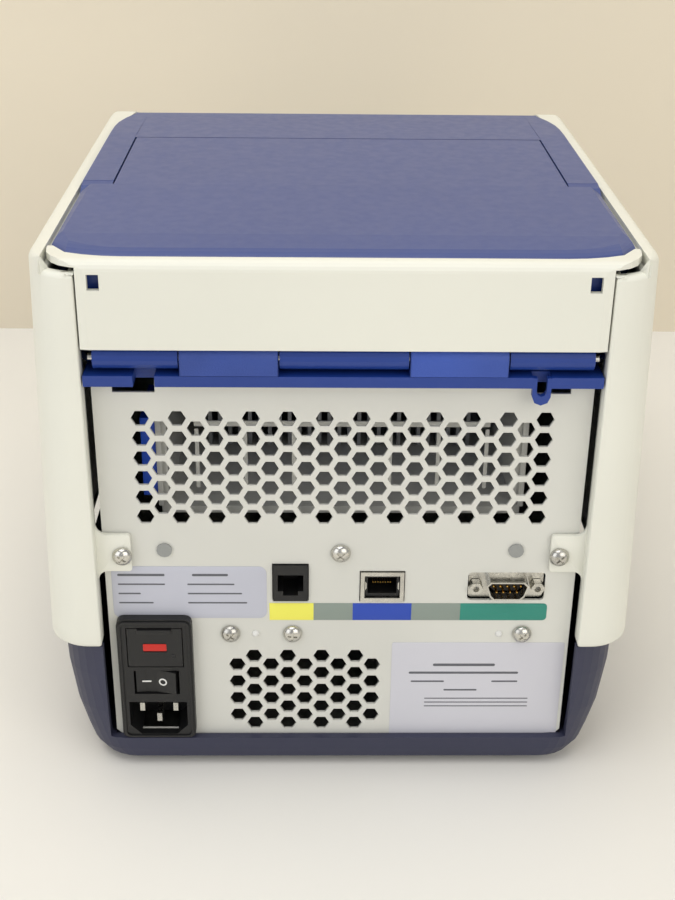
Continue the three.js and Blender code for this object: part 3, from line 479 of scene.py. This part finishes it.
def bottom_height(y):
    """Height of the seam over the base: it dips towards the front."""
    if y > SEAM_DIP_Y:
        return SEAM_Z
    return SEAM_Z - SEAM_DIP_RADIUS + math.sqrt(SEAM_DIP_RADIUS ** 2 - (y - SEAM_DIP_Y) ** 2)


# Stations round the panel's plan, from the rear lip to the nose: a kind and its place along it.
SIDE_PATH = (
    [("lip", y) for y in (235.4, 238, 241)] + [("edge", i) for i in range(3)]
    + [("rear", a) for a in (90, 82, 74, 66, 58, 51, 49, 42, 34, 26, 18, 10, 0)]
    + [("side", y) for y in (224, 222.5, 221.5, 210, 180, 150, 120, 95, 70, 50, 42, 34, 26, 18, 10)]
    + [("side", y) for y in (5, 0, -4, -8, -11, -14, -18, -40, -70, -100, -130, -160, -190, -215)]
    + [("front", a) for a in (0, -12, -25, -40, -55, -70, -90)]
    + [("end", 0)]
)
# Points of the panel's section, from the rim's inner drop to the wall's lower edge.
SIDE_SECTION = (
    [("inner", part) for part in ("foot", "drop", "brink")]
    + [("rim", t) for t in (1, 0.6, 0.25)]
    + [("round", a) for a in (0, 15, 30, 45, 60, 75, 90)]
    + [("wall", t) for t in (0.12, 0.3, 0.5, 0.7, 0.88, 0.97)]
    + [("under", a) for a in (0, 30, 60, 90)]
    + [("back", 1)]
)


def side_frame(kind, value):
    """At a station: the rim's height, the seam's height, the rim's width and its inner drop."""
    at_notch = kind in ("lip", "edge") or (kind == "rear" and value > EAR_ANGLE)
    at_ear = kind == "rear" or (kind == "side" and value > EAR_Y)
    if kind == "side":
        y, top = value, top_height(value)
    elif kind in ("front", "end"):
        angle = math.radians(-value if kind == "front" else 90)
        y = FRONT_CENTRE_Y - FRONT_RADIUS * math.sin(angle)
        top = top_height(y) - FRONT_RADIUS * (1 - math.cos(angle)) * 0.1
    else:
        y, top = REAR_Y, NOTCH_Z if at_notch else RIM_Z
    if kind in ("front", "end") or at_notch:
        band = THIN_BAND
    elif at_ear:
        corner = math.radians(value if kind == "rear" else 0)
        band = REAR_RADIUS - (REAR_RADIUS - THICK_BAND) / max(0.62, math.cos(corner))
    else:
        band = RIM_HALF_WIDTH - taper(y, BAND_TAPER_LENGTH) - rim_edge(y)
    drop = 5.2 if at_ear and not at_notch else 2.6
    return top, bottom_height(y), band, drop


def side_section(part, top, low, band, drop):
    """How far inside the wall's face a point of the section is, and its height."""
    section, t = part
    radius = min(4, band * 0.62)
    foot_radius = 2
    if section == "inner":
        return band + (2.4 if t == "foot" else 0), top if t == "brink" else top - drop
    if section == "rim":
        return radius + (band - radius) * t, top
    if section == "wall":
        return 0, (top - radius) + (low + foot_radius - top + radius) * t
    if section == "back":
        return 3, low + 1.5
    angle = math.radians(t)
    if section == "round":
        return radius * (1 - math.sin(angle)), top - radius * (1 - math.cos(angle))
    return foot_radius * (1 - math.cos(angle)), low + foot_radius * (1 - math.sin(angle))


def around(centre_x, centre_y, radius, degrees, z):
    angle = math.radians(degrees)
    return (centre_x + radius * math.cos(angle), centre_y + radius * math.sin(angle), z)


def side_point(where, part):
    """A point of the right side panel's skin."""
    kind, value = where
    offset, z = side_section(part, *side_frame(kind, value))
    if kind == "lip":
        return (FAIRING_EDGE_X + min(offset, 2), value, z)
    if kind == "edge":
        x, y = ((97.1, 242), (97.5, 242.4), (98.2, 242.5))[value]
        return (x + min(offset, 2) * 0.5, y - offset, z)
    if kind == "rear":
        centre_x = RIM_HALF_WIDTH + (RIM_Z - z) * DRAFT - REAR_RADIUS
        x, y, z = around(centre_x, REAR_Y - REAR_RADIUS, REAR_RADIUS - offset, value, z)
        return (max(x, REAR_ARC_EDGE_X), y, z)
    if kind == "side":
        return (half_width(value, z) - offset, value, z)
    if kind == "front":
        centre_x = half_width(FRONT_CENTRE_Y, z) - FRONT_RADIUS
        return around(centre_x, FRONT_CENTRE_Y, FRONT_RADIUS - offset, value, z)
    return (FAIRING_EDGE_X + 0.4, -REAR_Y + offset, z)


def mirror(mesh):
    """A mirrored copy of a mesh, across the YZ plane."""
    copy = mesh.copy()
    copy.transform(Matrix.Scale(-1, 4, (1, 0, 0)))
    copy.flip_normals()
    return copy


def tab_mesh():
    """The screw tab of a side panel, with filleted roots."""
    low, high, inner, root = 97.3, 114, 83.5, 99
    corner, fillet = 1.2, 4
    fillet_x = FAIRING_EDGE_X - fillet
    outline = [(root, low - 5)] + arc(fillet_x, low - fillet, fillet, 0, 90, 6)
    outline += arc(inner + corner, low + corner, corner, 270, 180, 4)
    outline += arc(inner + corner, high - corner, corner, 180, 90, 4)
    outline += arc(fillet_x, high + fillet, fillet, 270, 360, 6) + [(root, high + 5)]
    screw_hole = circle(87, 104.6, 2)
    return plate_mesh(outline, "Y", PANEL_Y + 0.4, PANEL_Y + 2.6, 0.35, [screw_hole])


def thicken(piece, thickness):
    """Gives a sheet its wall thickness, inwards."""
    modifier = piece.modifiers.new("wall", "SOLIDIFY")
    modifier.thickness = thickness * MM
    modifier.offset = -1


def side_panels():
    skin = lattice_mesh(SIDE_PATH, SIDE_SECTION, side_point)
    tab = tab_mesh()
    for side, skin_mesh, side_tab in (("left", mirror(skin), mirror(tab)), ("right", skin, tab)):
        shell = make_piece(f"side_panel_{side}_skin", skin_mesh, "base", "shell_white",
                           node=f"side_panel_{side}")
        thicken(shell, WALL_THICKNESS)
        make_piece(f"side_panel_{side}_tab", side_tab, "base", "shell_white")


side_panels()


# ---- Labels and the port strip ----
LABEL_Y = PANEL_Y + 0.02
LABEL_THICK = 0.16


def label(name, outline, finish):
    mesh = plate_mesh(outline, "Y", LABEL_Y, LABEL_Y + LABEL_THICK, 0.04)
    make_piece(name, mesh, "base", "grey_plastic", finish)


def print_rows(name, rows):
    """Printed rows, as plain bars without any lettering: each is (x0, x1, z, height)."""
    low, high = LABEL_Y + LABEL_THICK, LABEL_Y + LABEL_THICK * 1.3
    bars = [
        plate_mesh(rounded(x0, x1, z - h / 2, z + h / 2, h * 0.4, 2), "Y", low, high, 0.01)
        for x0, x1, z, h in rows
    ]
    make_piece(name, merge(*bars), "base", "grey_plastic", "print_grey")


def rating_label():
    label("rating_label", rounded(30, 92.4, 73.6, 98.2, 3.2), "label_grey")
    top, pitch = 94.2, 4.4
    rows = [(71, 90, top, 1.1), (45.5, 60, top, 1.1)]
    for start, widths in ((90, (19, 9, 14)), (62, (19, 22, 24))):
        rows += [(start - w, start, top - pitch * (i + 1), 0.7) for i, w in enumerate(widths)]
    print_rows("rating_label_print", rows)


def model_label():
    label("model_label", rounded(-93.4, -21.6, 13.2, 61.6, 1), "label_pale")
    rows = [(-52 - w / 2, -52 + w / 2, z, h) for w, z, h in ((26, 50.4, 1.3), (46, 46.4, 1.1))]
    rows += [(-44, -30, 42, 0.8), (-58, -44, 37.6, 0.8), (-75, -64, 42, 0.8)]
    rows += [(-80, -36, 33.2 - 2 * i, 0.5) for i in range(3)]
    print_rows("model_label_print", rows)


def port_strip():
    low, high = 72.65, 80.8
    bands = [("yellow", 11, 29), ("sage", -5, 11), ("blue", -29, -5), ("sage_far", -49, -29)]
    for name, x0, x1 in bands:
        outline = [(x0, low), (x1, low), (x1, high), (x0, high)]
        label(f"port_strip_{name}", outline, f"label_{name.replace('_far', '')}")
    end = -84.6
    corner = 1.6
    outline = [(-49, low), (-49, high)] + arc(end + corner, high - corner, corner, 90, 180, 4)
    outline += arc(end + corner, low + corner, corner, 180, 270, 4)
    label("port_strip_teal", outline, "label_teal")


rating_label()
model_label()
port_strip()


def panel_trim():
    """The folded edge under the ledge, and two moulded studs behind small holes."""
    flange = plate_mesh(rounded(-69, 69, 177.5, 178.7, 0.4, 3), "Y", PANEL_Y + 0.02, PANEL_Y + 1.6, 0.25)
    make_piece("rear_panel_folded_edge", flange, "base", "panel_sheet")
    profile = [(0, 1.0), (0.7, 0.85), (1.2, 0.4), (1.4, 0), (1.4, -0.4), (0, -0.4)]
    studs = [lathe_mesh(profile, (x, PANEL_Y + 0.4, 66), "Y", 20) for x in (34.8, -65.6)]
    make_piece("locating_studs", merge(*studs), "base", "grey_plastic", "print_white")


panel_trim()


def duct_edges():
    """Bright folded edges of the air duct and the fin pack, just behind the upper vent."""
    meshes = [
        plate_mesh(rounded(side * 72 - 1.1, side * 72 + 1.1, 120, 160, 0.4, 2), "Y", 223, 223.8, 0.2)
        for side in (-1, 1)
    ]
    meshes += [
        plate_mesh(rounded(x - 0.8, x + 0.8, 128, 154, 0.3, 2), "Y", 222.5, 223.2, 0.2)
        for x in (-57, 57, -19, 19, -38, 38)
    ]
    meshes.append(plate_mesh(rounded(-58, 58, 155, 157.4, 0.4, 2), "Y", 222.2, 223.2, 0.25))
    make_piece("duct_folded_edges", merge(*meshes), "base", "panel_sheet")


duct_edges()


# ---- Screws ----
def cross_cut(mesh, x, y, z, turn):
    """Cuts a cross recess into a screw head."""
    arms = []
    for angle in (turn, turn + 90):
        arm = plate_mesh(rounded(-2, 2, -0.42, 0.42, 0.2, 2), "Y", -1.6, 1.6, 0.05)
        arm.transform(Matrix.Translation((x, y, z)) @ Matrix.Rotation(math.radians(angle), 4, "Y"))
        arms.append(arm)
    for arm in arms:
        holder = bpy.data.objects.new("head", mesh)
        cutter = bpy.data.objects.new("cutter", arm)
        for piece in (holder, cutter):
            bpy.context.scene.collection.objects.link(piece)
        modifier = holder.modifiers.new("cut", "BOOLEAN")
        modifier.operation = "DIFFERENCE"
        modifier.object = cutter
        bpy.context.view_layer.update()
        mesh = bpy.data.meshes.new_from_object(holder.evaluated_get(bpy.context.evaluated_depsgraph_get()))
        bpy.data.objects.remove(holder)
        bpy.data.objects.remove(cutter)
    return mesh


def screws():
    random.seed(11)
    for name in sorted(NODES):
        if not (name.startswith("rear_screw") or name.startswith("side_panel_screw")):
            continue
        low, high = box_of(name)
        x, z, seat = (low.x + high.x) / 2, (low.z + high.z) / 2, high.y - 2.8
        profile = [(0, 2.8), (0.8, 2.77), (1.7, 2.6), (2.6, 2.2), (3.3, 1.65), (3.8, 0.95), (4.0, 0.35)]
        profile += [(4.02, 0.1), (3.9, 0), (1.5, -0.02), (1.5, -5), (0, -5)]
        head = lathe_mesh(profile, (x, seat, z), "Y", 40)
        head = cross_cut(head, x, seat + 3.4, z, random.uniform(0, 90))
        make_piece(name + "_head", head, "base", "steel", node=name)


screws()


# ---- Hinge lugs: coarsely textured blocks that stand on the ledge ----
def lugs():
    foot_z = 184.4
    for side, (low, high) in (("right", (24.3, 60.7)), ("left", (-60.7, -24.3))):
        outer = [(HINGE_Y + 4.75, foot_z)] + arc(HINGE_Y, HINGE_Z, 4.95, 0, 100, 12)
        inner = arc(HINGE_Y, HINGE_Z, 4.72, 100, 0, 12) + [(HINGE_Y + 4.35, foot_z)]
        mesh = plate_mesh(outer + inner, "X", low + 0.3, high - 0.3, 0.04)
        make_piece(f"hinge_lug_face_{side}", mesh, "base", "deck_blue", "lug_texture")


lugs()


# ---- Connectors ----
def pin_mesh(x, y, z, radius, length):
    profile = [(0, length), (radius * 0.55, length - radius * 0.25)]
    profile += [(radius, length - radius), (radius, 0), (0, 0)]
    return lathe_mesh(profile, (x, y, z), "Y", 14)


def serial_pins():
    x0, z0 = (SERIAL_LOW.x + SERIAL_HIGH.x) / 2, (SERIAL_LOW.z + SERIAL_HIGH.z) / 2
    pitch, rise, root_y, radius, length = 2.77, 1.42, 232.5, 0.5, 4.6
    pins = []
    for count, z in ((5, z0 + rise), (4, z0 - rise)):
        for i in range(count):
            x = x0 + pitch * (i - (count - 1) / 2)
            pins.append(pin_mesh(x, root_y, z, radius, length))
    make_piece("serial_pins", merge(*pins), "base", "steel", "gold")


def contacts(name, x, z, count, y):
    """Spring wires that slope down across the back of a modular socket."""
    pitch, depth, drop = 1.02, 7, 2.4
    wires = []
    for i in range(count):
        cx = x + pitch * (i - (count - 1) / 2)
        outline = [(y, z), (y - depth, z - drop), (y - depth, z - drop - 0.35), (y, z - 0.35)]
        wires.append(plate_mesh(outline, "X", cx - 0.2, cx + 0.2, 0.05))
    make_piece(name, merge(*wires), "base", "steel", "gold")


def sockets():
    serial_pins()
    nx, nz = (NETWORK_LOW.x + NETWORK_HIGH.x) / 2, (NETWORK_LOW.z + NETWORK_HIGH.z) / 2
    contacts("network_contacts", nx, nz - 0.6, 8, 230)
    cx, cz = (CAN_LOW.x + CAN_HIGH.x) / 2, (CAN_LOW.z + CAN_HIGH.z) / 2
    contacts("can_contacts", cx, cz + 2.8, 6, 231)
    springs = []
    for side in (-1, 1):
        outline = [(side * 6.9, -2.2), (side * 6.9, 2.2), (side * 6.3, 1.2), (side * 6.3, -1.2)]
        spring = plate_mesh([(nx + a, nz + b) for a, b in outline], "Y", 228.6, 234.2, 0.08)
        springs.append(spring)
    make_piece("network_shield_springs", merge(*springs), "base", "steel")


sockets()


# ---- Power entry module ----
def power_details():
    drawer_low, drawer_high = box_of("fuse_drawer")
    face = drawer_high.y
    cx = (drawer_low.x + drawer_high.x) / 2
    window = plate_mesh(rounded(cx - 4.8, cx + 4.8, 60, 63.4, 0.4, 3), "Y", face + 0.01, face + 0.3, 0.1)
    make_piece("fuse_window", window, "fuse_tray", "grey_plastic", "red_lamp")
    ledge = plate_mesh(rounded(cx - 4.8, cx + 4.8, 59.2, 59.7, 0.2, 2), "Y", face + 0.01, face + 0.5, 0.1)
    latch = plate_mesh(rounded(cx - 7, cx + 7, 68.6, 70.6, 0.5, 3), "Y", face + 0.01, face + 0.9, 0.3)
    dimple = lathe_mesh([(0, 0.12), (0.7, 0.3), (1, 0.1), (1, 0), (0, 0)], (cx - 7.4, face, 57.3), "Y", 20)
    make_piece("fuse_drawer_latch", merge(ledge, latch, dimple), "fuse_tray", "black_plastic")
    outer = rounded(cx - 14.6, cx + 14.6, 16.4, 74.4, 2.6)
    inner = rounded(cx - 13.6, cx + 13.6, 17, 73.2, 2)
    rim = plate_mesh(outer, "Y", INLET_Y + 0.01, INLET_Y + 0.7, 0.25, [inner])
    make_piece("inlet_rim", rim, "base", "black_plastic")


ROCKER_PIVOT_Y = 234.5
ROCKER_REST_TILT = math.radians(-7)
ROCKER_FACE_RADIUS = 29.3


def rocker_marks():
    """The off and on marks on the rocker's curved face: a ring and a bar."""
    low, high = box_of("rocker_switch")
    middle = ((low.x + high.x) / 2, ROCKER_PIVOT_Y + 2.2, (low.z + high.z) / 2)
    place = Matrix.Translation(middle) @ Matrix.Rotation(ROCKER_REST_TILT, 4, "Z")
    radius = ROCKER_FACE_RADIUS
    bar = (4.2, rounded(-1.9, 1.9, -0.32, 0.32, 0.2, 2), ())
    ring = (-2.6, circle(0, 0, 1.75), (circle(0, 0, 1.15),))
    meshes = []
    for x, outline, holes in (bar, ring):
        mesh = plate_mesh(outline, "Y", 0.05, 0.3, 0.04, holes)
        y = 0.95 + radius - math.sqrt(radius ** 2 - x ** 2)
        slope = math.asin(x / radius)
        mesh.transform(place @ Matrix.Translation((x, y, 0)) @ Matrix.Rotation(slope, 4, "Z"))
        meshes.append(mesh)
    make_piece("rocker_marks", merge(*meshes), "rocker", "grey_plastic", "print_white")


power_details()
rocker_marks()


# ---- Sample block ----
WELL_PITCH = 9
WELL_RADIUS = 3.1
TOP_PLATE = 9


def sample_block():
    """A block with 96 wells over its solid base."""
    low, high = BLOCK_LOW, BLOCK_HIGH
    cx, cy = (low.x + high.x) / 2, (low.y + high.y) / 2
    outline = rounded(low.x, high.x, low.y, high.y, 3)
    columns = [cx + WELL_PITCH * (i - 5.5) for i in range(12)]
    rows = [cy + WELL_PITCH * (j - 3.5) for j in range(8)]
    centres = [(x, y) for x in columns for y in rows]
    wells = [circle(x, y, WELL_RADIUS, 20) for x, y in centres]
    top = plate_mesh(outline, "Z", high.z - TOP_PLATE, high.z, 0.3, wells)
    under = plate_mesh(outline, "Z", low.z, high.z - TOP_PLATE + 0.1, 0.3)
    profile = [(2.9, 6.4), (1.3, 0.6), (0, 0.2)]
    cup_z = high.z - TOP_PLATE + 0.2
    cups = [lathe_mesh(profile, (x, y, cup_z), "Z", 12) for x, y in centres]
    make_piece("sample_block_wells", merge(top, under, *cups), "base", "aluminium", node="sample_block")


sample_block()


# ---- Front screen ----
BEZEL_RISE, BEZEL_RUN = 134, 199


def screen_tiles():
    """A generic menu on the touchscreen: plain tiles without lettering."""
    low, high = box_of("touchscreen")
    slope = math.atan2(BEZEL_RISE, BEZEL_RUN)
    place = Matrix.Translation((low + high) / 2) @ Matrix.Rotation(slope, 4, "X")
    outlines = [rounded(-66, 66, 32, 43, 1.5, 4)]
    for x in (-44, 0, 44):
        for y in (8, -26):
            outlines.append(rounded(x - 19, x + 19, y - 13, y + 13, 3, 5))
    mesh = merge(*(plate_mesh(outline, "Z", 0.72, 0.8, 0.02) for outline in outlines))
    mesh.transform(place)
    make_piece("screen_tiles", mesh, "base", "screen_glass", "screen_tile")


screen_tiles()


# ---- Carried-over CAD nodes ----
BEVELLED = {
    "power_inlet": 0.5, "rocker_switch": 0.4, "fuse_drawer": 0.35, "lid_hinge_frame": 0.5,
    "base_tray": 0.6, "front_bezel": 0.6, "power_button": 0.5,
    "cable_guide": 0.6, "can_jack": 0.35, "network_jack": 0.25, "network_jack_insert": 0.2,
    "heated_platen": 0.6, "block_gasket": 0.4, "power_supply": 0.6, "main_board": 0.3,
    "fuse_left": 0.2, "fuse_right": 0.2, "hole_plug_left": 0.3, "hole_plug_right": 0.3,
    "inlet_pin_line": 0.35, "inlet_pin_neutral": 0.35, "inlet_pin_earth": 0.35,
    "lid_shell": 0.5, "lid_handle": 0.6, "lid_rear_cover": 0.5, "usb_port": 0.2,
    "touchscreen": 0.3, "display_module": 0.4, "lid_liner": 0.4,
}
for name, node in NODES.items():
    node.data.shade_smooth()
    node.data.set_sharp_from_angle(angle=math.radians(28))
    paint(node, SLOT_OF[name])
    if name in BEVELLED:
        bevel(node, BEVELLED[name])


# ---- Stage ----
def stage_material(name, colour, one_sided=False):
    finish = Finish(name, colour, 0.7, specular=0.2)
    finish.mottle(finish.noise(2.5, 2), 0.985, 1.01)
    if one_sided:
        tree = finish.tree
        mix = tree.nodes.new("ShaderNodeMixShader")
        clear = tree.nodes.new("ShaderNodeBsdfTransparent")
        side = tree.nodes.new("ShaderNodeNewGeometry")
        output = tree.nodes["Material Output"]
        finish.link(side.outputs["Backfacing"], mix.inputs[0])
        finish.link(finish.shader.outputs[0], mix.inputs[1])
        finish.link(clear.outputs[0], mix.inputs[2])
        finish.link(mix.outputs[0], output.inputs["Surface"])
    return finish.material


def flat_stage(name, corners, material):
    mesh = bpy.data.meshes.new(name)
    mesh.from_pydata([Vector(c) * MM for c in corners], [], [(0, 1, 2, 3)])
    stage = bpy.data.objects.new(name, mesh)
    mesh.materials.append(material)
    bpy.context.scene.collection.objects.link(stage)


FAR = 4000
WALL_Y = -275
flat_stage(
    "floor",
    [(-FAR, -FAR, 0), (FAR, -FAR, 0), (FAR, FAR, 0), (-FAR, FAR, 0)],
    stage_material("floor_paint", (236, 234, 228)),
)
flat_stage(
    "backdrop",
    [(-FAR, WALL_Y, 0), (-FAR, WALL_Y, FAR), (FAR, WALL_Y, FAR), (FAR, WALL_Y, 0)],
    stage_material("wall_paint", (232, 222, 202), one_sided=True),
)


def area_light(name, place, target, size, power, colour):
    data = bpy.data.lights.new(name, "AREA")
    data.shape = "RECTANGLE"
    data.size, data.size_y = size
    data.energy = power
    data.color = colour
    light = bpy.data.objects.new(name, data)
    light.location = Vector(place) * MM
    direction = (Vector(target) - Vector(place)).normalized()
    light.rotation_mode = "QUATERNION"
    light.rotation_quaternion = direction.to_track_quat("-Z", "Y")
    bpy.context.scene.collection.objects.link(light)


area_light("overhead", (300, 300, 1900), (0, 0, 100), (1.6, 1.6), 19, (1, 0.985, 0.95))
area_light("window", (-900, 1500, 900), (0, 100, 120), (1.4, 1.2), 10, (1, 0.96, 0.88))
area_light("fill", (1200, 1200, 700), (0, 100, 120), (1.2, 1.2), 6, (0.97, 0.98, 1))

world = bpy.data.worlds.new("studio")
world.use_nodes = True
world.node_tree.nodes["Background"].inputs["Color"].default_value = (0.95, 0.96, 1, 1)
world.node_tree.nodes["Background"].inputs["Strength"].default_value = 0.42
bpy.context.scene.world = world
bpy.context.scene.view_settings.view_transform = "Standard"
